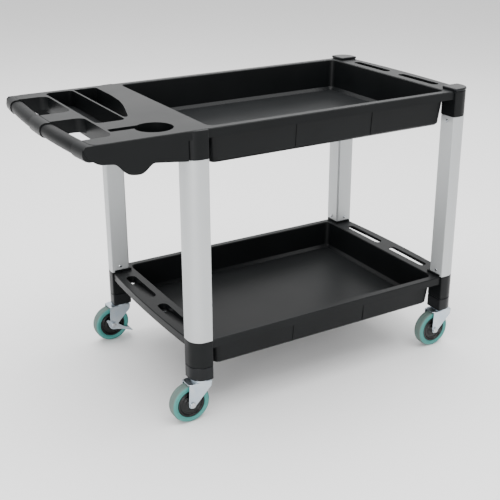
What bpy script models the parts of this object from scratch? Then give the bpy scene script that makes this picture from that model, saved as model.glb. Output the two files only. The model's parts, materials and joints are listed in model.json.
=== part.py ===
"""Rolling utility cart: two moulded trays on four aluminium legs and four swivel casters.

Metres, Z up.  X runs along the cart (push handle at -X), Y across it, floor at Z = 0.
The model builds one named object per physical piece, in the resting position.
"""
import math
import bpy
import bmesh
from mathutils import Matrix, Vector

# ---------------------------------------------------------------- driving dimensions
LEG_X = 0.425           # outer face of the legs from the middle, along X
LEG_Y = 0.285           # outer face of the legs from the middle, along Y
LEG_S = 0.055           # side of the leg profile
LEG_R = 0.034           # radius of the outward corner of the leg
LEG_WALL = 0.003        # wall of the leg extrusion
NOTCH = 0.0045          # square notch on the inward corner of the leg
GAP = 0.0003            # clearance between touching pieces

TOP_Z = 0.760           # deck of the top tray
LOW_Z = 0.220           # deck of the lower tray
POST_TOP = 0.070        # height of the top tray's corner posts
SEAM_Z = 0.150          # where lower post and foot meet
FOOT_Z = 0.114          # underside of the foot
PLUG = 0.032            # how far a post's plug enters the leg

TRAY_Y = 0.279          # half width over the tray lips
END_X = 0.417           # end of the decks at the corners
END_BOW = 0.011         # how far the ends bow out in the middle
TUB_X, TUB_Y = 0.356, 0.258     # half size of the tub mouth
TUB_R = 0.016           # plan radius of the tub corners
DRAFT = 0.008           # how much the tub closes in toward its floor
TOP_DEPTH, LOW_DEPTH = 0.093, 0.086
WALL = 0.0035           # plastic wall
DECK = 0.004            # thickness of the decks
LIP = 0.022             # height of the lip band
EDGE = 0.002            # rounding of the lip edge

BAR_X = -0.650          # handle bar centre at its ends
BAR_BOW = 0.016         # bow of the bar
BAR_DROP = 0.019        # bar centre below the deck
BAR_END = 0.2765        # half length of the bar
WEB_Y = 0.036           # half width of the middle web of the handle
OPEN_Y = 0.226          # outer end of the finger openings
POCKET_X = -0.571       # left side of the tool compartments
POCKET_DEEP = 0.042
CUP = (-0.470, -0.205)
CUP_R = 0.045
CUP_DEEP = 0.060

WHEEL_R = 0.052
WHEEL_W = 0.031
HUB_R = 0.0368
TRAIL = 0.031           # the wheel trails the swivel axis toward -X
FORK_IN = 0.0180        # inner face of the fork cheeks
FORK_T = 0.0025
CROWN_Z = 0.1063        # underside of the fork crown

CORNERS = {"near_left": (-1, -1), "near_right": (1, -1), "far_left": (-1, 1), "far_right": (1, 1)}
LEG_MX, LEG_MY = LEG_X - LEG_S / 2, LEG_Y - LEG_S / 2

for old in list(bpy.data.objects):
    bpy.data.objects.remove(old, do_unlink=True)


# ---------------------------------------------------------------- helpers
def material(name, colour, rough, metal):
    mat = bpy.data.materials.new(name)
    mat.use_nodes = True
    bsdf = mat.node_tree.nodes["Principled BSDF"]
    bsdf.inputs["Base Color"].default_value = (*colour, 1.0)
    bsdf.inputs["Roughness"].default_value = rough
    bsdf.inputs["Metallic"].default_value = metal
    mat.diffuse_color = (*colour, 1.0)
    return mat


def obj_from(bm, name):
    bmesh.ops.remove_doubles(bm, verts=bm.verts, dist=0.00002)
    bmesh.ops.recalc_face_normals(bm, faces=bm.faces)
    mesh = bpy.data.meshes.new(name)
    bm.to_mesh(mesh)
    bm.free()
    obj = bpy.data.objects.new(name, mesh)
    bpy.context.collection.objects.link(obj)
    return obj


def chain_bm(bm, loops, closed=False):
    """Skin a run of equal-length loops; cap both ends, or close the run on itself."""
    rows = [[bm.verts.new(p) for p in loop] for loop in loops]
    n = len(rows[0])
    pairs = list(zip(rows, rows[1:])) + ([(rows[-1], rows[0])] if closed else [])
    for lower, upper in pairs:
        for i in range(n):
            j = (i + 1) % n
            bm.faces.new((lower[i], lower[j], upper[j], upper[i]))
    if not closed:
        bm.faces.new(list(reversed(rows[0])))
        bm.faces.new(rows[-1])
    return bm


def chain(name, loops, closed=False):
    return obj_from(chain_bm(bmesh.new(), loops, closed), name)


def at(outline, z):
    return [(x, y, z) for x, y in outline]


def prism(name, outline, z0, z1, edge=0.0):
    """Upright prism; edge > 0 chamfers its top and bottom rims."""
    if edge <= 0:
        return chain(name, [at(outline, z0), at(outline, z1)])
    small = inset(outline, edge)
    return chain(name, [at(small, z0), at(outline, z0 + edge), at(outline, z1 - edge), at(small, z1)])


def inset(outline, d):
    """Move every side of a counter-clockwise outline inward by d."""
    out, n = [], len(outline)
    for i in range(n):
        p0, p, p1 = (Vector(outline[k % n]) for k in (i - 1, i, i + 1))
        a, b = (p - p0).normalized(), (p1 - p).normalized()
        na, nb = Vector((-a.y, a.x)), Vector((-b.y, b.x))
        m = na + nb
        m = m / max(m.length_squared / 2, 0.3)
        out.append((p.x + m.x * d, p.y + m.y * d))
    return out


def arc(cx, cy, r, a0, a1, n):
    return [(cx + r * math.cos(math.radians(a0 + (a1 - a0) * k / n)),
             cy + r * math.sin(math.radians(a0 + (a1 - a0) * k / n))) for k in range(n + 1)]


def ring_outline(x0, x1, hy, r, bow0=0.0, bow1=0.0, n=5, m=8):
    """Rounded rectangle, counter-clockwise, whose two ends may bow outward."""
    pts = arc(x1 - r, -hy + r, r, -90, 0, n)
    pts += [(x1, -hy + r + (2 * hy - 2 * r) * k / m) for k in range(1, m)]
    pts += arc(x1 - r, hy - r, r, 0, 90, n) + arc(x0 + r, hy - r, r, 90, 180, n)
    pts += [(x0, hy - r - (2 * hy - 2 * r) * k / m) for k in range(1, m)]
    pts += arc(x0 + r, -hy + r, r, 180, 270, n)
    mid = (x0 + x1) / 2
    return [(x + (bow1 if x > mid else -bow0) * (1 - (y / hy) ** 2), y) for x, y in pts]


def stadium(cx, y0, y1, r, n=5):
    return arc(cx, y0 + r, r, 180, 360, n) + arc(cx, y1 - r, r, 0, 180, n)


def box_outline(x0, x1, y0, y1, r=0.0, n=3):
    if r <= 0:
        return [(x0, y0), (x1, y0), (x1, y1), (x0, y1)]
    return (arc(x0 + r, y0 + r, r, 180, 270, n) + arc(x1 - r, y0 + r, r, 270, 360, n)
            + arc(x1 - r, y1 - r, r, 0, 90, n) + arc(x0 + r, y1 - r, r, 90, 180, n))


def leg_outline(sx, sy, d=0.0, notch=0.0, small=0.004):
    """Leg plan at one corner of the cart, every face moved inward by d."""
    x1, y1 = LEG_X - d, LEG_Y - d
    x0, y0 = LEG_X - LEG_S + d, LEG_Y - LEG_S + d
    r, q = max(LEG_R - d, 0.004), max(small - d, 0.0012)
    pts = [(x0 + notch, y0 + notch), (x0 + notch, y0)] if notch else []
    pts += [] if notch else arc(x0 + q, y0 + q, q, 180, 270, 2)
    pts += arc(x1 - q, y0 + q, q, 270, 360, 2) + arc(x1 - r, y1 - r, r, 0, 90, 6)
    pts += arc(x0 + q, y1 - q, q, 90, 180, 2)
    pts += [(x0, y0 + notch)] if notch else []
    pts = [(x * sx, y * sy) for x, y in pts]
    return pts if sx * sy > 0 else list(reversed(pts))


def apply_bool(target, others, op):
    for other in others:
        mod = target.modifiers.new(op, "BOOLEAN")
        mod.operation, mod.solver, mod.object = op, "EXACT", other
        dg = bpy.context.evaluated_depsgraph_get()
        mesh = bpy.data.meshes.new_from_object(target.evaluated_get(dg))
        target.modifiers.clear()
        target.data = mesh
        bpy.data.objects.remove(other, do_unlink=True)
    return target


def cut(target, *others):
    return apply_bool(target, others, "DIFFERENCE")


def join(target, *others):
    return apply_bool(target, others, "UNION")


def clean(obj):
    bm = bmesh.new()
    bm.from_mesh(obj.data)
    bmesh.ops.remove_doubles(bm, verts=bm.verts, dist=0.00004)
    bmesh.ops.dissolve_degenerate(bm, edges=bm.edges, dist=0.00004)
    bmesh.ops.recalc_face_normals(bm, faces=bm.faces)
    bm.to_mesh(obj.data)
    bm.free()
    return obj


def lathe(name, profile, seg=36, axis="Z", centre=(0, 0, 0), closed=True):
    """Turn a closed (radius, height) profile about an axis through centre."""
    loops = []
    for r, h in profile:
        ring = [(r * math.cos(2 * math.pi * k / seg), r * math.sin(2 * math.pi * k / seg), h) for k in range(seg)]
        loops.append(ring)
    obj = chain(name, loops, closed)
    turn = {"Z": Matrix(), "Y": Matrix.Rotation(math.radians(-90), 4, "X"),
            "X": Matrix.Rotation(math.radians(90), 4, "Y")}[axis]
    obj.data.transform(Matrix.Translation(centre) @ turn)
    return obj


def cyl(name, r, h0, h1, seg=24, axis="Z", centre=(0, 0, 0), edge=0.0):
    prof = [(r, h0), (r, h1)] if not edge else [(r - edge, h0), (r, h0 + edge), (r, h1 - edge), (r - edge, h1)]
    return lathe(name, prof, seg, axis, centre, closed=False)


def plate_y(name, outline_xz, y0, y1):
    """Flat plate standing in the XZ plane, from y0 to y1."""
    return chain(name, [[(x, y0, z) for x, z in outline_xz], [(x, y1, z) for x, z in outline_xz]])


def finish(obj, mat, origin=None, smooth=None):
    clean(obj)
    obj.data.materials.clear()
    obj.data.materials.append(mat)
    if origin is not None:
        obj.data.transform(Matrix.Translation(-Vector(origin)))
        obj.location = origin
    if smooth is not None:
        limit = math.radians(smooth)
        bm = bmesh.new()
        bm.from_mesh(obj.data)
        for f in bm.faces:
            f.smooth = True
        for e in bm.edges:
            e.smooth = len(e.link_faces) == 2 and e.calc_face_angle(0.0) < limit
        bm.to_mesh(obj.data)
        bm.free()
    return obj


# ---------------------------------------------------------------- materials
BLACK = (0.030, 0.032, 0.034)
mats = {
    "tray": material("moulded_black", BLACK, 0.52, 0.0),
    "grip": material("grip_rubber", (0.022, 0.023, 0.025), 0.7, 0.0),
    "leg": material("satin_aluminium", (0.62, 0.64, 0.65), 0.34, 1.0),
    "foot": material("foot_black", (0.036, 0.038, 0.042), 0.48, 0.0),
    "zinc": material("zinc_plate", (0.60, 0.64, 0.67), 0.28, 1.0),
    "steel": material("bolt_steel", (0.55, 0.56, 0.58), 0.25, 1.0),
    "hub": material("hub_black", (0.025, 0.027, 0.030), 0.45, 0.0),
    "tyre": material("tyre_grey_green", (0.21, 0.46, 0.43), 0.6, 0.0),
    "screw": material("screw_steel", (0.66, 0.67, 0.68), 0.25, 1.0),
}


# ---------------------------------------------------------------- trays
def tub_run(x0, bow0, z, depth):
    """Loops of lip, deck and tub, from the underside of the floor round to its inside."""
    lip = ring_outline(x0, END_X, TRAY_Y, 0.020, bow0, END_BOW)
    inner = ring_outline(x0 + WALL, END_X - WALL, TRAY_Y - WALL, 0.0165, bow0, END_BOW)

    def tub(grow, drop):
        k = DRAFT * drop / depth
        return ring_outline(-TUB_X - grow + k, TUB_X + grow - k, TUB_Y + grow - k, max(TUB_R + grow, 0.006))
    return [at(tub(WALL - 0.005, depth), z - depth), at(tub(WALL, depth), z - depth + 0.005),
            at(tub(WALL, DECK), z - DECK), at(inner, z - DECK), at(inner, z - LIP),
            at(lip, z - LIP), at(lip, z - EDGE), at(ring_outline(
                x0 + EDGE, END_X - EDGE, TRAY_Y - EDGE, 0.018, bow0, END_BOW), z),
            at(tub(EDGE, 0), z), at(tub(0, EDGE), z - EDGE),
            at(tub(0, depth - WALL - 0.008), z - depth + WALL + 0.008),
            at(tub(-0.008, depth - WALL), z - depth + WALL)]


def ribs(z, depth):
    """Thin upright ribs on the two long tub walls."""
    for sy in (-1, 1):
        for x in (-0.115, 0.115):
            ends = []
            for drop in (depth - 0.006, LIP - 0.003):
                y = TUB_Y + WALL - DRAFT * drop / depth
                y0, y1 = sorted((sy * (y - 0.0020), sy * (y + 0.0012)))
                ends.append(at(box_outline(x - 0.0011, x + 0.0011, y0, y1), z - drop))
            yield chain("rib", ends)


def end_slots(z, side=1):
    """Two round-ended slots through an end deck."""
    for sy in (-1, 1):
        y0, y1 = sorted((sy * 0.025, sy * 0.187))
        yield prism("slot", stadium(side * 0.391, y0, y1, 0.0115), z - 0.03, z + 0.01)


def plug(sx, sy, z0, z1):
    return prism("plug", leg_outline(sx, sy, LEG_WALL + 0.0015 + NOTCH, 0, 0.006), z0, z1)


def screw_spots(z):
    """Place and direction of the screws of one leg end level, on the two inward faces."""
    for sx, sy in CORNERS.values():
        yield Vector((sx * (LEG_X - LEG_S), sy * (LEG_MY + 0.002), z)), "X", -sx
        yield Vector((sx * (LEG_MX + 0.002), sy * (LEG_Y - LEG_S), z)), "Y", -sy


def stub(name, spot, axis, way, profile, seg=10):
    """Turned piece whose +height side points out of the leg face."""
    obj = lathe(name, profile, seg, "Z", (0, 0, 0), closed=False)
    turn = Vector((0, 0, 1)).rotation_difference(Vector((way, 0, 0)) if axis == "X" else Vector((0, way, 0)))
    obj.data.transform(Matrix.Translation(spot) @ turn.to_matrix().to_4x4())
    return obj


def handle_path(y):
    return BAR_X - BAR_BOW * (1 - (y / 0.28) ** 2)


def bar_loop(y, rx, rz, n=14):
    """Section of the handle bar, a flattened oval across its curved axis."""
    slope = math.atan2(-2 * BAR_BOW * y / 0.28 ** 2, -1.0)
    nx, ny = -math.cos(slope), -math.sin(slope)
    pts = []
    for k in range(n):
        a = 2 * math.pi * k / n
        c, s = math.cos(a), math.sin(a)
        c, s = math.copysign(abs(c) ** 0.8, c), math.copysign(abs(s) ** 0.8, s)
        pts.append((handle_path(y) + rx * c * nx, y + rx * c * ny, TOP_Z - BAR_DROP + rz * s))
    return pts


GRIP_FROM, GRIP_TO = 0.040, 0.222


def handle_bar():
    stops = [(-BAR_END, 0), (-GRIP_TO - 0.001, 0), (-GRIP_TO, 1), (-0.175, 1), (-0.13, 1), (-0.085, 1),
             (-GRIP_FROM, 1), (-GRIP_FROM + 0.001, 0), (0.0, 0)]
    stops += [(-y, k) for y, k in reversed(stops[:-1])]
    size = {0: (0.0205, 0.0186), 1: (0.0150, 0.0130)}
    return chain("bar", [bar_loop(y, *size[k]) for y, k in stops])


def side_depth(x):
    """How far the handle's side wall hangs below the deck at x, with its rounded lobe."""
    t = min(max((x + 0.62) / 0.195, 0.0), 1.0)
    base = 0.047 + 0.023 * t
    if x < -0.62:
        base = 0.047 - 0.030 * (min(1.0, (-0.62 - x) / 0.046)) ** 2.2
    u = (x + 0.552) / 0.050
    return base + (0.026 * (1.0 - (1.0 - math.cos(u * math.pi / 2)) ** 1.6) ** 2.2 if abs(u) < 1 else 0.0)


def side_wall(sy):
    xs = [-0.666 + 0.246 * k / 48 for k in range(49)]
    low = [(x, TOP_Z - side_depth(x)) for x in xs]
    pts = low + [(xs[-1], TOP_Z - 0.001), (-0.662, TOP_Z - 0.001), (-0.668, TOP_Z - 0.007)]
    y0, y1 = sorted((sy * (TRAY_Y - 0.0003), sy * (TRAY_Y - 0.0003 - WALL)))
    return plate_y("side", pts, y0, y1)


def top_tray():
    z = TOP_Z
    tray = chain("top_tray", tub_run(-0.650, 0.010, z, TOP_DEPTH))
    for sy in (-1, 1):
        y0, y1 = sorted((sy * WEB_Y, sy * OPEN_Y))
        mouth = box_outline(-0.70, -0.577, y0, y1, 0.022, 5)
        right, r = -0.577 + WALL, 0.022 + WALL
        skirt = [(-0.650, y0 - WALL)] + arc(right - r, y0 - WALL + r, r, -90, 0, 5)
        skirt += arc(right - r, y1 + WALL - r, r, 0, 90, 5) + [(-0.650, y1 + WALL)]
        join(tray, prism("skirt", skirt, z - 0.0345, z - 0.001))
        cut(tray, prism("mouth", mouth, z - 0.05, z + 0.01))
    block = box_outline(POCKET_X - WALL, -0.4245, -0.110, 0.2625, 0.010)
    join(tray, prism("block", block, z - POCKET_DEEP - WALL, z - 0.001))
    join(tray, cyl("cup", CUP_R + WALL, z - CUP_DEEP - WALL, z - 0.001, 40, "Z", (*CUP, 0)))
    slot_y = CUP[1] + 0.024
    join(tray, prism("trench", box_outline(POCKET_X - WALL, CUP[0], slot_y - 0.0155, slot_y + 0.0155, 0.006),
                     z - 0.034, z - 0.001))
    join(tray, side_wall(-1), side_wall(1))
    first = box_outline(POCKET_X, -0.4965, -0.106, 0.2585, 0.014, 5)
    cut(tray, prism("pocket", first, z - POCKET_DEEP, z + 0.01))
    second = [(-0.4915, 0.2585), (-0.4915, -0.074), (-0.4895, -0.081), (-0.4835, -0.082), (-0.4780, -0.074),
              (-0.4600, -0.018), (-0.4450, 0.032), (-0.4340, 0.085), (-0.4290, 0.150), (-0.4285, 0.2525),
              (-0.4345, 0.2585)]
    cut(tray, prism("pocket", second, z - POCKET_DEEP, z + 0.01))
    cut(tray, cyl("well", CUP_R, z - CUP_DEEP, z + 0.01, 40, "Z", (*CUP, 0)))
    cut(tray, prism("well_slot", box_outline(POCKET_X, CUP[0], slot_y - 0.012, slot_y + 0.012, 0.005),
                    z - 0.030, z + 0.01))
    cut(tray, *end_slots(z))
    join(tray, handle_bar())
    for sx, sy in CORNERS.values():
        post = prism("post", leg_outline(sx, sy), z - POST_TOP, z - 0.0007 if sx < 0 else z - 0.0006, 0.0012)
        join(tray, join(post, plug(sx, sy, z - POST_TOP - PLUG, z - POST_TOP + 0.004)))
    join(tray, *ribs(z, TOP_DEPTH))
    for spot, axis, way in screw_spots(z - POST_TOP - 0.014):
        cut(tray, stub("hole", spot, axis, way, [(0.0022, -0.0165), (0.0022, 0.0)]))
    return finish(tray, mats["tray"], smooth=28)


def recess(sy):
    """Tool of one rest recess in the left end deck: floor slopes up toward the near end."""
    y0, y1 = sorted((sy * 0.024, sy * 0.186))
    cx = -0.391
    top = stadium(cx, y0, y1, 0.0150)
    low = [(x, y, LOW_Z - 0.0070 - 0.0095 * (y - y0) / (y1 - y0)) for x, y in stadium(cx, y0 + 0.002, y1 - 0.002, 0.0130)]
    tool = chain("recess", [low, at(top, LOW_Z + 0.006)])
    return tool, cyl("drill", 0.0085, LOW_Z - 0.03, LOW_Z + 0.004, 20, "Z", (cx, y1 - 0.016, 0))


def collar(sx, sy):
    """Raised edge around the two inward faces of a leg."""
    x0, y0 = LEG_X - LEG_S, LEG_Y - LEG_S
    t, g = 0.0035, 0.0006
    pts = [(x0 - t, y0 - t), (x0 + LEG_S - 0.008, y0 - t), (x0 + LEG_S - 0.008, y0 - g), (x0 - g, y0 - g),
           (x0 - g, y0 + LEG_S - 0.008), (x0 - t, y0 + LEG_S - 0.008)]
    pts = [(x * sx, y * sy) for x, y in pts]
    if sx * sy < 0:
        pts.reverse()
    return prism("collar", pts, LOW_Z - 0.003, LOW_Z + 0.007)


def lower_tray():
    z = LOW_Z
    tray = chain("lower_tray", tub_run(-END_X, END_BOW, z, LOW_DEPTH))
    join(tray, prism("pad", box_outline(-0.4175, -TUB_X - 0.002, -0.192, 0.192, 0.004), z - 0.0190, z - 0.001))
    for sy in (-1, 1):
        tool, drill = recess(sy)
        cut(tray, tool, drill)
    cut(tray, *end_slots(z))
    for sx, sy in CORNERS.values():
        post = prism("post", leg_outline(sx, sy), SEAM_Z + GAP, z + 0.0010, 0.0012)
        join(post, plug(sx, sy, z - 0.004, z + 0.001 + PLUG))
        cut(post, cyl("bore", 0.0164, SEAM_Z - 0.01, SEAM_Z + 0.0225, 20, "Z", (sx * LEG_MX, sy * LEG_MY, 0)))
        join(tray, post, collar(sx, sy))
    join(tray, *ribs(z, LOW_DEPTH))
    for spot, axis, way in screw_spots(z + 0.0180):
        cut(tray, stub("hole", spot, axis, way, [(0.0022, -0.0165), (0.0022, 0.0)]))
    return finish(tray, mats["tray"], smooth=28)


# ---------------------------------------------------------------- frame pieces
LEG_Z0, LEG_Z1 = LOW_Z + 0.0010 + GAP, TOP_Z - POST_TOP - GAP
SCREW_Z = {"upper": TOP_Z - POST_TOP - 0.014, "lower": LOW_Z + 0.0180}


def leg(name, sx, sy):
    outer = leg_outline(sx, sy, 0.0, NOTCH)
    inner = leg_outline(sx, sy, LEG_WALL, NOTCH)
    obj = chain("leg_" + name, [at(outer, LEG_Z0), at(outer, LEG_Z1), at(inner, LEG_Z1), at(inner, LEG_Z0)], True)
    for z in SCREW_Z.values():
        for spot, axis, way in screw_spots(z):
            if spot.x * sx > 0 and spot.y * sy > 0:
                cut(obj, stub("hole", spot, axis, way, [(0.0025, -0.008), (0.0025, 0.004)]))
    return finish(obj, mats["leg"], smooth=28)


def screw(name, spot, axis, way):
    """Button-head screw through one inward face of a leg into the plug behind it."""
    prof = [(0.0018, -0.0150), (0.0018, GAP), (0.0048, GAP), (0.0048, 0.0012), (0.0034, 0.0024), (0.0014, 0.0029)]
    return finish(stub("screw_" + name, spot, axis, way, prof, 10), mats["screw"], smooth=28)


def post_cap(name, sx, sy):
    outline = leg_outline(sx, sy, -0.0010)
    cap = prism("post_cap_" + name, outline, TOP_Z + GAP, TOP_Z + 0.0075, 0.0015)
    return finish(cap, mats["foot"], smooth=28)


def grip(name, sy):
    """Soft sleeve round one half of the handle bar."""
    ends = [GRIP_FROM + 0.0015, 0.085, 0.13, 0.175, GRIP_TO - 0.0015]
    ys = [sy * y for y in ends]
    outer = [bar_loop(ys[0], 0.0168, 0.0144)] + [bar_loop(y, 0.0184, 0.0158) for y in
                                                 [ys[0] + sy * 0.002] + ys[1:-1] + [ys[-1] - sy * 0.002]]
    outer += [bar_loop(ys[-1], 0.0168, 0.0144)]
    inner = [bar_loop(y, 0.0154, 0.0134) for y in reversed(ys)]
    return finish(chain("grip_" + name, outer + inner, True), mats["grip"], smooth=35)


def foot(name, sx, sy):
    top = SEAM_Z
    obj = prism("foot_" + name, leg_outline(sx, sy), FOOT_Z, top, 0.0014)
    mid = (sx * LEG_MX, sy * LEG_MY, 0)
    join(obj, cyl("spigot", 0.0160, top - 0.004, top + 0.020, 20, "Z", mid))
    cut(obj, cyl("bore", 0.0065, FOOT_Z - 0.01, FOOT_Z + 0.032, 16, "Z", mid))
    return finish(obj, mats["foot"], smooth=28)


# ---------------------------------------------------------------- casters
def caster(name, sx, sy, braked):
    cx, cy = sx * LEG_MX, sy * LEG_MY
    pin = (cx, cy, CROWN_Z)
    ax = (cx - TRAIL, cy, WHEEL_R)
    top = CROWN_Z + 0.0028
    mount = lathe("caster_mount_" + name, [
        (0.0105, CROWN_Z - 0.0046), (0.0120, CROWN_Z - 0.0030), (0.0120, CROWN_Z - GAP), (0.0080, CROWN_Z - GAP),
        (0.0080, top + GAP), (0.0230, top + GAP), (0.0230, FOOT_Z - GAP),
        (0.0060, FOOT_Z - GAP), (0.0060, FOOT_Z + 0.030)], 20, "Z", (cx, cy, 0), False)
    finish(mount, mats["zinc"], smooth=30)

    half = FORK_IN + FORK_T
    crown = prism("fork_" + name, [(cx + x, cy + y) for x, y in
                                   box_outline(-0.0400, 0.0270, -half, half, 0.0100, 3)], CROWN_Z, top, 0.0006)
    for side in (-1, 1):
        y0, y1 = sorted((cy + side * FORK_IN, cy + side * half))
        cheek = [(-0.0385, CROWN_Z + 0.001), (-0.0405, 0.068)]
        cheek += [(-TRAIL + x, WHEEL_R + z) for x, z in arc(0, 0, 0.0098, 180, 325, 6)]
        cheek += [(0.0225, 0.0925), (0.0255, CROWN_Z + 0.001)]
        join(crown, plate_y("cheek", [(cx + x, z) for x, z in cheek], y0, y1))
    cut(crown, cyl("eye", 0.0084, CROWN_Z - 0.004, top + 0.004, 20, "Z", (cx, cy, 0)))
    cut(crown, cyl("axle_hole", 0.0054, -0.03, 0.03, 12, "Y", ax))
    finish(crown, mats["zinc"], origin=pin, smooth=30)

    out = half + GAP + (0.0026 if braked else 0.0)
    bolt = lathe("axle_" + name, [
        (0.0040, -out - 0.0052), (0.0075, -out - 0.0040), (0.0075, -out), (0.0050, -out), (0.0050, out),
        (0.0082, out), (0.0082, out + 0.0044), (0.0046, out + 0.0048), (0.0046, out + 0.0065)],
        12, "Y", ax, False)
    finish(bolt, mats["steel"], smooth=30)

    rim, w = HUB_R, WHEEL_W / 2
    hub_side = [(0.0053, 0.0168), (0.0105, 0.0168), (0.0115, 0.0112), (0.0300, 0.0112), (0.0315, 0.0138),
                (rim - GAP / 2, 0.0138)]
    hub = lathe("hub_" + name, hub_side + [(r, -h) for r, h in reversed(hub_side)], 24, "Y", ax)
    finish(hub, mats["hub"], origin=ax, smooth=30)
    tyre_side = [(rim + GAP / 2, w - 0.0028), (rim + 0.0020, w - 0.0006), (0.0457, w - 0.0006),
                 (0.0503, w - 0.0052), (WHEEL_R, w - 0.0110)]
    tyre = lathe("tyre_" + name, tyre_side + [(r, -h) for r, h in reversed(tyre_side)], 28, "Y", ax)
    finish(tyre, mats["tyre"], origin=ax, smooth=40)
    if braked:
        brake(name, ax, half)


def brake(name, ax, half):
    """Stamped rocker on the axle: a wing each side of the fork and a pedal across the tread."""
    y_in = half + GAP
    tilt = math.radians(-22.0)

    def tilted(points):
        return [(ax[0] + x * math.cos(tilt) - z * math.sin(tilt), ax[2] + x * math.sin(tilt) + z * math.cos(tilt))
                for x, z in points]
    wing = [(-0.0270, 0.0085), (-0.0185, 0.0010), (-0.0115, -0.0080), (-0.0040, -0.0128), (0.0040, -0.0132),
            (0.0140, -0.0105), (0.0360, -0.0080), (0.0580, -0.0075), (0.0580, -0.0010), (0.0360, 0.0005),
            (0.0150, 0.0060), (0.0060, 0.0098), (-0.0040, 0.0102), (-0.0110, 0.0098), (-0.0230, 0.0125)]
    parts = []
    for side in (-1, 1):
        y0, y1 = sorted((ax[1] + side * y_in, ax[1] + side * (y_in + 0.0022)))
        parts.append(plate_y("brake_" + name, tilted(wing), y0, y1))
    pedal = [(0.0555, -0.0072), (0.0665, -0.0090), (0.0670, -0.0066), (0.0570, -0.0014), (0.0558, -0.0014)]
    y = y_in + 0.0010
    bar = plate_y("pedal", tilted(pedal), ax[1] - y, ax[1] + y)
    lever = join(parts[0], bar, parts[1])
    cut(lever, cyl("eye", 0.0054, -0.04, 0.04, 12, "Y", ax))
    return finish(lever, mats["zinc"], origin=ax, smooth=30)


# ---------------------------------------------------------------- assembly
top_tray()
lower_tray()
for corner, (sx, sy) in CORNERS.items():
    leg(corner, sx, sy)
    foot(corner, sx, sy)
    caster(corner, sx, sy, braked=sy > 0)
for corner in ("near_right", "far_right"):
    post_cap(corner, *CORNERS[corner])
grip("near", -1)
grip("far", 1)
for level, height in SCREW_Z.items():
    for i, (spot, axis, way) in enumerate(screw_spots(height)):
        screw("_".join((level, list(CORNERS)[i // 2], "end" if axis == "X" else "side")), spot, axis, way)

# The frame's origin goes on the floor under the middle of the whole cart.
corners = [o.matrix_basis @ v.co for o in bpy.data.objects for v in o.data.vertices]
middle = [(min(c[k] for c in corners) + max(c[k] for c in corners)) / 2 for k in (0, 1)]
for obj in bpy.data.objects:
    obj.location.x -= middle[0]
    obj.location.y -= middle[1]
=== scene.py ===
# %% [markdown]
# # A rolling utility cart
# Two deep moulded trays stand on four satin aluminium legs, with a push handle, tool compartments
# and a cup well at one end and four soft-tyred swivel casters below. The measured frame comes in
# first. Everything after it only adds surface: rounder edges, turned wheels, and finishes made from
# nodes. The frame's box is kept.

# %% load the frame
import json
import math
import bpy
import bmesh
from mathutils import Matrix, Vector

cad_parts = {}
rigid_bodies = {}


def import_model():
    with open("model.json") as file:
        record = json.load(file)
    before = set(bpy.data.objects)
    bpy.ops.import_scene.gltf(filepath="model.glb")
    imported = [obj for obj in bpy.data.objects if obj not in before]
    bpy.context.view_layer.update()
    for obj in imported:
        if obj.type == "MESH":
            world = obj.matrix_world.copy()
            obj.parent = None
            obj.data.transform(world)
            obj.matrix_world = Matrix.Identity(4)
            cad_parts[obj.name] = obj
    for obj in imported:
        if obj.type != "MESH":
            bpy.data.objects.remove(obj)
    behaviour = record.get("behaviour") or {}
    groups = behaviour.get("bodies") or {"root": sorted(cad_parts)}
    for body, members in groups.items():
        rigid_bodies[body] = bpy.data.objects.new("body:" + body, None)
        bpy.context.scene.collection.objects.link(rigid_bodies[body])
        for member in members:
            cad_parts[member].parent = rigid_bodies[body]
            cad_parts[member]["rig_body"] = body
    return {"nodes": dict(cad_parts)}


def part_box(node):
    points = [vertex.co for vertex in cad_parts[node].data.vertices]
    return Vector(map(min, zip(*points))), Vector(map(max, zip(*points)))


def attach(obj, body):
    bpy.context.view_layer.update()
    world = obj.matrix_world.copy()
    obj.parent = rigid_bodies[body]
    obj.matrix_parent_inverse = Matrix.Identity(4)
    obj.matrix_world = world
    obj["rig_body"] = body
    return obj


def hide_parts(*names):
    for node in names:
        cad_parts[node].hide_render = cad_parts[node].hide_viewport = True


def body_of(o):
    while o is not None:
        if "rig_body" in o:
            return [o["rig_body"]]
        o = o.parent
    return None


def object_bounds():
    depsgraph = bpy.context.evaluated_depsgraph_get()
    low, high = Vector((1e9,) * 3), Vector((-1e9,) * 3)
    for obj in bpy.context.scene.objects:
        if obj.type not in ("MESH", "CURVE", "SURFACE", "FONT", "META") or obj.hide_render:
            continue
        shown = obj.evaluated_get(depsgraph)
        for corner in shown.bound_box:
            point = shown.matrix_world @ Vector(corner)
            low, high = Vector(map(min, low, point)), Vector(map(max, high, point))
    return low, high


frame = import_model()
cad_low, cad_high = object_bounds()
CORNERS = ("near_left", "near_right", "far_left", "far_right")
print("frame", len(frame["nodes"]), "nodes, box", [round(v, 3) for v in (*cad_low, *cad_high)])

# %% [markdown]
# ## Camera
# The cart is seen from its handle end, from a little above table height. The camera could be aimed
# at an empty, but its direction is known as two angles, so the turn is worked out from them. A
# longish lens keeps the legs nearly parallel, and a small vertical shift lets the camera tip down
# less.

# %% camera
AZIMUTH, ELEVATION = math.radians(-30.94), math.radians(20.87)
toward_camera = Vector((math.sin(AZIMUTH) * math.cos(ELEVATION),
                        -math.cos(AZIMUTH) * math.cos(ELEVATION), math.sin(ELEVATION)))
lens = bpy.data.cameras.new("studio_camera")
lens.sensor_width, lens.lens = 36.0, 65.96
lens.shift_x, lens.shift_y = -0.0181, -0.0510
lens.clip_end = 60.0
camera = bpy.data.objects.new("studio_camera", lens)
bpy.context.collection.objects.link(camera)
camera.location = (-1.1798, -2.0713, 1.2970)
camera.rotation_euler = toward_camera.to_track_quat("Z", "Y").to_euler()
bpy.context.scene.camera = camera
print("camera at", [round(v, 3) for v in camera.location], "lens", round(lens.lens, 2), "mm")

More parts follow.
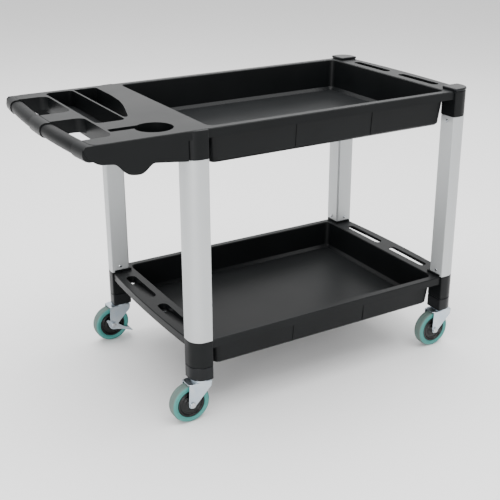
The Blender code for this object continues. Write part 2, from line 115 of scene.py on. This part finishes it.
# %% [markdown]
# ## Floor
# The cart stands on a pale studio floor. One grid face, far wider than the view, does for it, since
# nothing on the floor needs shape. Every new piece starts as a bmesh, so the first helper turns a
# finished bmesh into an object that stands at the origin.

# %% floor
FLOOR_HALF = 14.0       # half the floor's side, in metres


def new_object(name, bm, smooth=False):
    mesh = bpy.data.meshes.new(name)
    bm.to_mesh(mesh)
    bm.free()
    for face in mesh.polygons:
        face.use_smooth = smooth
    obj = bpy.data.objects.new(name, mesh)
    bpy.context.collection.objects.link(obj)
    return obj


bm = bmesh.new()
bmesh.ops.create_grid(bm, x_segments=1, y_segments=1, size=FLOOR_HALF)
floor = new_object("studio_floor", bm)
print("floor", [round(v, 1) for v in floor.dimensions])

# %% [markdown]
# ## Light
# Black plastic shows its form almost only through what it mirrors. Small lamps would leave hard
# spots on it, so the room itself is bright and even, and three broad panels do the modelling: one
# low behind the cart puts a sheen on the decks, one hangs overhead, and one in front keeps the
# wheels and the undersides readable.

# %% lights
world = bpy.data.worlds.new("bright_room")
bpy.context.scene.world = world
world.use_nodes = True
background = world.node_tree.nodes["Background"]
background.inputs["Color"].default_value = (1.0, 1.0, 1.0, 1.0)
background.inputs["Strength"].default_value = 1.1


def light_panel(name, place, aim, size, watts):
    data = bpy.data.lights.new(name, "AREA")
    data.shape, data.size, data.size_y, data.energy = "RECTANGLE", size[0], size[1], watts
    obj = bpy.data.objects.new(name, data)
    bpy.context.collection.objects.link(obj)
    obj.location = place
    obj.rotation_euler = (Vector(place) - Vector(aim)).to_track_quat("Z", "Y").to_euler()


middle = (Vector(cad_low) + Vector(cad_high)) / 2
light_panel("sheen_panel", (1.9, 3.0, 1.9), middle, (3.2, 1.6), 14)
light_panel("top_panel", (0.2, 0.2, 4.2), middle, (6.0, 5.0), 450)
light_panel("front_panel", (-2.8, -2.8, 1.3), middle, (2.4, 2.0), 95)

# %% [markdown]
# ## Sums of sockets
# A finish is a small graph of nodes. It could be wired by hand in the editor, but as code it stays
# readable only if the sums look like sums. So an output socket is wrapped in a class that knows
# + - and *, either way round, and each sum adds its own Math node.

# %% sums of sockets
class Wire:
    """An output socket that can be used in sums."""
    def __init__(self, finish, socket):
        self.finish, self.socket = finish, socket

    def _math(self, kind, a, b):
        return self.finish.add("ShaderNodeMath", {"operation": kind}, {0: a, 1: b})

    def __add__(self, other): return self._math("ADD", self, other)
    def __radd__(self, other): return self._math("ADD", other, self)
    def __sub__(self, other): return self._math("SUBTRACT", self, other)
    def __rsub__(self, other): return self._math("SUBTRACT", other, self)
    def __mul__(self, other): return self._math("MULTIPLY", self, other)
    def __rmul__(self, other): return self._math("MULTIPLY", other, self)

    def clip(self, low, high):
        """0 below low, 1 above high, straight between."""
        return self.finish.add("ShaderNodeMapRange", {"clamp": True},
                               {"Value": self, "From Min": low, "From Max": high})


print("sums", [name for name in dir(Wire) if name.endswith(("add__", "sub__", "mul__"))])

# %% [markdown]
# ## A finish
# One class holds one material and everything that feeds its Principled shader. Any node is added by
# the same method, which takes the node's type, its settings and its inputs. What is the same all
# over is set straight on the shader. All patterns read Object coordinates, so they stay put on the
# piece when it moves.

# %% a finish
class Finish:
    """One material and the nodes that feed its Principled shader."""
    def __init__(self, name, colour, rough, metal=0.0, **shader):
        self.mat = bpy.data.materials.new(name)
        self.mat.use_nodes = True
        self.tree = self.mat.node_tree
        self.shader = self.tree.nodes["Principled BSDF"]
        self.mat.diffuse_color = (*colour, 1.0)
        self.set("Base Color", (*colour, 1.0))
        self.set("Roughness", rough)
        self.set("Metallic", metal)
        for key, value in shader.items():
            self.set(key.replace("_", " "), value)
        self.place = self.add("ShaderNodeTexCoord", {}, {}, "Object")

    def add(self, kind, settings, inputs, output=0):
        """Any node: its type, its settings, the values or links of its inputs."""
        node = self.tree.nodes.new(kind)
        for key, value in settings.items():
            setattr(node, key, value)
        for key, value in inputs.items():
            self.feed(node.inputs[key], value)
        return Wire(self, node.outputs[output])

    def feed(self, socket, value):
        if isinstance(value, Wire):
            self.tree.links.new(value.socket, socket)
        else:
            socket.default_value = value

    def set(self, name, value):
        self.feed(self.shader.inputs[name], value)

    def noise(self, scale, detail=3.0, rough=0.55, stretch=None):
        """Noise over the piece; stretch scales the place along X, Y and Z first."""
        where = self.place
        if stretch:
            where = self.add("ShaderNodeMapping", {}, {"Vector": where, "Scale": stretch})
        return self.add("ShaderNodeTexNoise", {}, {"Vector": where, "Scale": scale,
                                                   "Detail": detail, "Roughness": rough})

    def blend(self, mask, first, second):
        """Colour mix: first where mask is 0, second where it is 1."""
        ends = {at: c if isinstance(c, Wire) else (*c, 1.0) for at, c in ((6, first), (7, second))}
        return self.add("ShaderNodeMix", {"data_type": "RGBA"}, {0: mask, **ends}, 2)

    def bump(self, height, strength, distance):
        """Fine relief from height, in the shading only."""
        self.set("Normal", self.add("ShaderNodeBump", {}, {"Strength": strength,
                                                           "Distance": distance,
                                                           "Height": height}))

    def facing_up(self):
        """1 on surfaces that face up, 0 on walls and undersides."""
        normal = self.add("ShaderNodeNewGeometry", {}, {}, "Normal")
        return self.add("ShaderNodeSeparateXYZ", {}, {"Vector": normal}, "Z").clip(0.55, 0.95)


print("a finish knows", [name for name in vars(Finish) if not name.startswith("_")])

# %% [markdown]
# ## Moulded black plastic
# The trays are structural-foam mouldings: near-black, with a fine even grain cut into the mould and
# very slight flow marks. The grain could be real relief, but it is finer than a millimetre, so a
# bump is enough. Up-facing surfaces are painted paler: a trace of dust and fine scuffs, and also a
# painted sheen for the light the decks catch. The walls, which nothing rubs, stay a touch glossier.

# %% moulded plastic
def moulded(name, colour, rough, grain=1.0, dust_and_sheen=1.0, gloss=0.13):
    plastic = Finish(name, colour, rough, Specular_IOR_Level=gloss)
    flow = plastic.noise(7.0, 2.0)
    fine = plastic.noise(1500.0, 2.0, 0.6)
    pits = plastic.noise(520.0, 3.0, 0.6)
    scuff = plastic.noise(60.0, 5.0, 0.7, (1.0, 4.0, 1.0)).clip(0.60, 0.72)
    up = plastic.facing_up()
    # Up-facing surfaces blend toward a paler black: partly dust and scuffs, partly a painted sheen of
    # the light on the decks.
    pale = tuple(min(1.0, c * 3.0 + 0.012) for c in colour)
    warm = tuple(c * 1.35 for c in colour)
    base = plastic.blend(flow.clip(0.35, 0.7), colour, warm)
    dust_and_sheen_mask = (up * 0.30 + up * scuff * 0.35) * dust_and_sheen
    plastic.set("Base Color", plastic.blend(dust_and_sheen_mask, base, pale))
    plastic.set("Roughness", fine * 0.10 + flow * 0.08 + scuff * 0.05 + (rough - 0.10)
                - (1 - up) * 0.03)
    plastic.bump(pits * 0.65 + fine * 0.35, 0.22 * grain, 0.00035)
    return plastic.mat


tray_black = moulded("moulded_black", (0.0034, 0.0039, 0.0042), 0.40)
foot_black = moulded("foot_black", (0.0052, 0.0058, 0.0066), 0.36, 0.7, 0.5, 0.17)
hub_black = moulded("hub_black", (0.0016, 0.0019, 0.0020), 0.28, 0.4, 0.0, 0.30)
grip_black = moulded("grip_black", (0.0028, 0.0032, 0.0035), 0.44, 1.5, 0.25, 0.09)
print("plastics", [mat.name for mat in (tray_black, foot_black, hub_black, grip_black)])

# %% [markdown]
# ## Satin aluminium
# The legs are extrusions, and their draw lines run the whole length. Scratches could be drawn one by
# one, but a noise that is stretched along Z gives the same lines for nothing. The anodised skin is
# even in colour and only the gloss wavers across the width. It is part metal, part pale oxide, so
# the metal value stays low.

# %% leg metal
def drawn_metal(name, colour, rough):
    metal = Finish(name, colour, rough, 0.36)
    lines = metal.noise(1.0, 4.0, 0.7, (900.0, 900.0, 3.0))
    bands = metal.noise(1.0, 2.0, 0.5, (70.0, 70.0, 0.8))
    cloud = metal.noise(9.0, 2.0)
    dull = tuple(c * 0.90 for c in colour)
    metal.set("Base Color", metal.blend(lines * 0.4 + bands * 0.4, colour, dull))
    metal.set("Roughness", lines * 0.14 + bands * 0.08 + cloud * 0.05 + (rough - 0.13))
    metal.bump(lines, 0.10, 0.0002)
    return metal.mat


leg_silver = drawn_metal("satin_aluminium", (0.45, 0.465, 0.47), 0.42)
print("leg metal", leg_silver.name, len(leg_silver.node_tree.nodes), "nodes")

# %% [markdown]
# ## Zinc plate
# Forks, plates and pedals are pressed steel with a bright, faintly blue zinc coat. The coat has soft
# cloudy patches and a fine crystal grain. A tiled pattern would show its repeats, so both come from
# textures that repeat nowhere. The bolts have the same coat, with a finer cloud.

# %% plated steel
def plated(name, colour, rough, patch=70.0):
    steel = Finish(name, colour, rough, 1.0)
    clouds = steel.noise(patch, 3.0, 0.6)
    cells = steel.add("ShaderNodeTexVoronoi", {"feature": "F1"},
                      {"Vector": steel.place, "Scale": 210.0}, "Distance")
    cool = (colour[0] * 0.86, colour[1] * 0.92, colour[2] * 0.98)
    steel.set("Base Color", steel.blend(clouds.clip(0.35, 0.7), colour, cool))
    steel.set("Roughness", clouds * 0.16 + cells * 0.06 + (rough - 0.10))
    steel.bump(clouds * 0.7 + cells * 0.3, 0.10, 0.0003)
    return steel.mat


fork_zinc = plated("zinc_plate", (0.52, 0.57, 0.61), 0.30)
bolt_zinc = plated("bolt_zinc", (0.50, 0.51, 0.52), 0.24, 160.0)
print("plated steel", fork_zinc.name, bolt_zinc.name)

# %% [markdown]
# ## Tyre rubber
# The tyres are a soft grey-green compound. The side walls are clean; the running band is greyed by
# the floor. A place on the tyre could be told by a noise or a painted mask, but the band is exactly
# what lies far from the axle, so the turned mesh carries that distance as an attribute called
# "reach", and the grey starts where it passes the shoulder.

# %% tyre rubber
GREEN, WORN_GREY = (0.036, 0.190, 0.172), (0.112, 0.112, 0.100)
BAND_START, BAND_FULL = 0.0488, 0.0512      # distances from the axle where the wear starts and ends

rubber = Finish("tyre_rubber", GREEN, 0.50, Specular_IOR_Level=0.40)
reach = rubber.add("ShaderNodeAttribute", {"attribute_name": "reach"}, {}, "Fac")
mottle = rubber.noise(160.0, 4.0, 0.65)
cloud = rubber.noise(28.0, 3.0)
worn = (reach.clip(BAND_START, BAND_FULL) * (0.55 + cloud * 0.5)).clip(0.10, 0.95)
clean = rubber.blend(mottle.clip(0.35, 0.75), GREEN, (0.046, 0.212, 0.192))
rubber.set("Base Color", rubber.blend(worn * 0.88, clean, WORN_GREY))
rubber.set("Roughness", mottle * 0.12 + worn * 0.22 + 0.40)
rubber.bump(mottle * (0.35 + worn), 0.28, 0.0004)
tyre_green = rubber.mat
print("tyre rubber", tyre_green.name, "worn from", BAND_START, "to", BAND_FULL)

# %% [markdown]
# ## Floor finish
# The floor is a sheet of pale studio vinyl. A plain shader would do, but a quite even gloss looks
# like paper, so a broad, faint drift in roughness is laid over it.

# %% floor finish
vinyl = Finish("pale_floor", (0.86, 0.86, 0.86), 0.55)
vinyl.set("Roughness", vinyl.noise(3.0, 2.0) * 0.06 + 0.52)
floor.data.materials.append(vinyl.mat)
print("floor finish", vinyl.mat.name)

# %% [markdown]
# ## Softened mouldings and pressings
# The frame's pieces have dead-sharp edges, which no moulding or pressing has. They could all be
# modelled again, but their shapes are right already. So each one is copied, its loose triangles are
# welded and cleared of needless edges, and a small bevel breaks every real corner. The copy takes
# the node's place, so its size stays the frame's.

# %% soften
WELD = 0.00003          # points closer than this are one point, in metres
FLAT = math.radians(0.6)        # faces that meet flatter than this become one


def soften(node, width, mat, turn=35.0, rounds=2):
    bm = bmesh.new()
    bm.from_mesh(frame["nodes"][node].data)
    bmesh.ops.remove_doubles(bm, verts=bm.verts, dist=WELD)
    bmesh.ops.dissolve_limit(bm, angle_limit=FLAT, verts=bm.verts, edges=bm.edges)
    piece = new_object("soft_" + node, bm, smooth=True)
    piece.data.materials.clear()
    piece.data.materials.append(mat)
    rim = piece.modifiers.new("edge", "BEVEL")
    rim.width, rim.segments, rim.limit_method = width, rounds, "ANGLE"
    rim.angle_limit, rim.use_clamp_overlap, rim.harden_normals = math.radians(turn), True, False
    piece.data.set_sharp_from_angle(angle=math.radians(turn))
    weigh = piece.modifiers.new("shading", "WEIGHTED_NORMAL")
    weigh.keep_sharp, weigh.weight = True, 60
    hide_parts(node)
    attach(piece, body_of(frame["nodes"][node])[0])
    return piece


top = soften("top_tray", 0.0009, tray_black)
print("top tray", len(top.data.polygons), "faces before the bevel")

# %% [markdown]
# ## Trays, legs and caster parts
# The lower tray and the two grips are plastic, like the top tray. Each corner then has its leg, its
# foot and its caster's steel parts. A pressed part gets a finer edge than a moulded one, because
# sheet breaks sharper than plastic. Only the two far casters have a brake pedal.

# %% trays, legs and caster parts
soften("lower_tray", 0.0009, tray_black)
for node in ("grip_near", "grip_far"):
    soften(node, 0.0007, grip_black, 40.0)
for node in ("post_cap_near_right", "post_cap_far_right"):
    soften(node, 0.0008, foot_black)
for corner in CORNERS:
    soften("leg_" + corner, 0.0005, leg_silver, 40.0)
    soften("foot_" + corner, 0.0008, foot_black)
    soften("fork_" + corner, 0.0007, fork_zinc)
    soften("caster_mount_" + corner, 0.0004, fork_zinc)
    soften("axle_" + corner, 0.0004, bolt_zinc)
for corner in ("far_left", "far_right"):
    soften("brake_" + corner, 0.0006, fork_zinc)

# %% [markdown]
# ## Turning
# Hub and tyre are both round about the axle, as if made on a lathe. A ring of boxes or a torus could
# be pushed into shape, but one half-section spun a full turn gives every groove in one go. The
# section is points of (radius, distance from the middle), mirrored for the other side.

# %% turning
def turned(name, centre, half, steps, mat, rides, node):
    """Spin a closed section about an axle along Y through centre."""
    section = half + [(r, -h) for r, h in reversed(half)]
    bm = bmesh.new()
    ring = [bm.verts.new((centre[0], centre[1] + h, centre[2] + r)) for r, h in section]
    edges = [bm.edges.new((a, b)) for a, b in zip(ring, ring[1:] + ring[:1])]
    bmesh.ops.spin(bm, geom=ring + edges, cent=centre, axis=(0, 1, 0), angle=2 * math.pi,
                   steps=steps, use_merge=True, use_duplicate=False)
    bmesh.ops.remove_doubles(bm, verts=bm.verts, dist=0.00002)
    bmesh.ops.recalc_face_normals(bm, faces=bm.faces)
    piece = new_object(name, bm, smooth=True)
    piece.data.materials.append(mat)
    piece.data.set_sharp_from_angle(angle=math.radians(40))
    far = piece.data.attributes.new("reach", "FLOAT", "POINT")
    for i, v in enumerate(piece.data.vertices):
        far.data[i].value = math.hypot(v.co.x - centre[0], v.co.z - centre[2])
    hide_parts(node)
    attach(piece, rides)
    return piece


def eased(points, cut=0.0006):
    """Break each inner corner of an open section by a short flat."""
    out = [points[0]]
    for a, b, c in zip(points, points[1:], points[2:]):
        p, q, r = Vector(a), Vector(b), Vector(c)
        d = min(cut, (q - p).length * 0.4, (r - q).length * 0.4)
        out += [tuple(q + (p - q).normalized() * d), tuple(q + (r - q).normalized() * d)]
    return out + [points[-1]]


print("an eased corner", [[round(v, 4) for v in p] for p in eased([(0, 0), (0.01, 0), (0.01, 0.01)])])

# %% [markdown]
# ## Sections of tyre and hub
# The tyre has a bead against the rim, one shallow groove in the side wall, a round shoulder and a
# nearly flat running band with a fine groove round its middle. The hub steps from the boss through
# a thin web with two raised rings to the seat of the tyre. The sections could be drawn as curves,
# but as numbers they can start from the frame's own radii and widths, and so can't grow past them.

# %% sections
SHOULDER = 0.0071       # radius of the tyre's shoulder


def tyre_half(rim, outer, side):
    """Half the tyre's section, from the bead over the shoulder to the middle of the band."""
    wall = [(rim + 0.0003, side - 0.0034), (rim + 0.0012, side - 0.0014),
            (rim + 0.0030, side - 0.0009), (rim + 0.0038, side - 0.0016),
            (rim + 0.0046, side - 0.0009), (outer - 0.0076, side - 0.0001)]
    for turn in range(12, 79, 11):
        rise, fall = math.sin(math.radians(turn)), math.cos(math.radians(turn))
        wall.append((outer - SHOULDER + SHOULDER * rise, side - SHOULDER + 0.0070 * fall))
    return wall + [(outer - 0.00005, side - 0.0088), (outer - 0.00003, 0.0022),
                   (outer - 0.0006, 0.0016)]


def hub_half(rim, boss):
    """Half the hub's section, from the bore over the boss and web to the tyre's seat."""
    return eased([(0.0053, boss), (0.0098, boss), (0.0104, 0.0140), (0.0150, 0.0122),
                  (0.0156, 0.0132), (0.0192, 0.0132), (0.0198, 0.0116), (0.0254, 0.0108),
                  (0.0260, 0.0120), (0.0294, 0.0120), (0.0302, 0.0106), (0.0318, 0.0106),
                  (0.0326, 0.0136), (rim, 0.0136)])


print("tyre section", len(tyre_half(0.037, 0.052, 0.016)), "points a side")

# %% [markdown]
# ## Hubs and tyres
# Each wheel takes its middle, its radius and its width from the boxes of the frame's tyre and hub,
# so the four can be made in one loop. Tyres get more steps than hubs, because their outline is what
# shows against the floor. Both ride on the wheel, so they roll and swivel with it.

# %% hubs and tyres
for corner in CORNERS:
    low, high = (Vector(v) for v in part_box("tyre_" + corner))
    hub_low, hub_high = (Vector(v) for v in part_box("hub_" + corner))
    axle = (low + high) / 2
    outer, side = (high.x - low.x) / 2, (high.y - low.y) / 2
    rim = (hub_high.x - hub_low.x) / 2
    turned("tyre_ring_" + corner, tuple(axle), tyre_half(rim, outer, side), 96, tyre_green,
           "wheel_" + corner, "tyre_" + corner)
    turned("hub_disc_" + corner, tuple(axle), hub_half(rim, hub_high.y - axle.y), 72, hub_black,
           "wheel_" + corner, "hub_" + corner)
    print(corner, "axle", [round(v, 4) for v in axle], "outer radius", round(outer, 4))

# %% [markdown]
# ## Screws
# Small button heads hold each leg to the tray plugs, one on each inward face. They get the same
# softening as the rest, only finer, and the bright bolt finish.

# %% screws
screws = [node for node in frame["nodes"] if node.startswith("screw_")]
for node in screws:
    soften(node, 0.0003, bolt_zinc, 30.0)
print("screws", len(screws))

# %% [markdown]
# ## Sizes
# The finished cart has to fill the same box as the frame. Here the scene is only brought up to date.

# %% sizes
bpy.context.view_layer.update()
